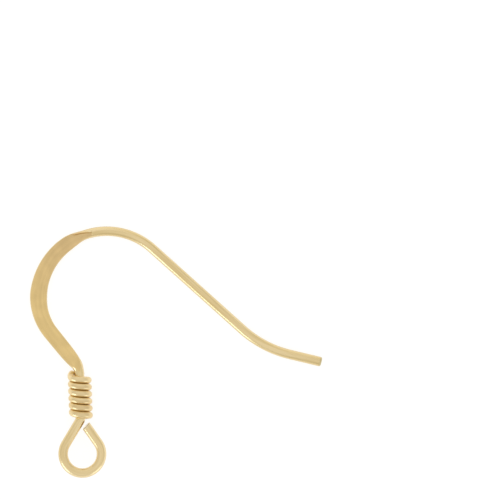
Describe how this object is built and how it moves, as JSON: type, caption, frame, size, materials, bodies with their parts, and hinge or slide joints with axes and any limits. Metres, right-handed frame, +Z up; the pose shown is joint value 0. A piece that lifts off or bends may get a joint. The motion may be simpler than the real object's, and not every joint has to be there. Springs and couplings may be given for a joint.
{
  "type": "ear wire",
  "caption": "Fish-hook ear wire with a flattened front, a coil round its neck and an open eye for a drop, lying flat.",
  "frame": {"origin": "on the surface that the ear wire lies on, under the middle of its outline", "axes": "+X along its longest side, towards the end of the tail; +Y from the eye towards the crown; +Z up"},
  "size_m": [0.021, 0.0182, 0.0018],
  "materials": {
    "gold_hook": "Polished yellow gold wire, with a satin face where it is pressed flat",
    "gold_coil": "Bright drawn yellow gold wire"
  },
  "bodies": {
    "root": {"ear_hook": "gold_hook", "coil": "gold_coil"}
  },
  "joints": []
}
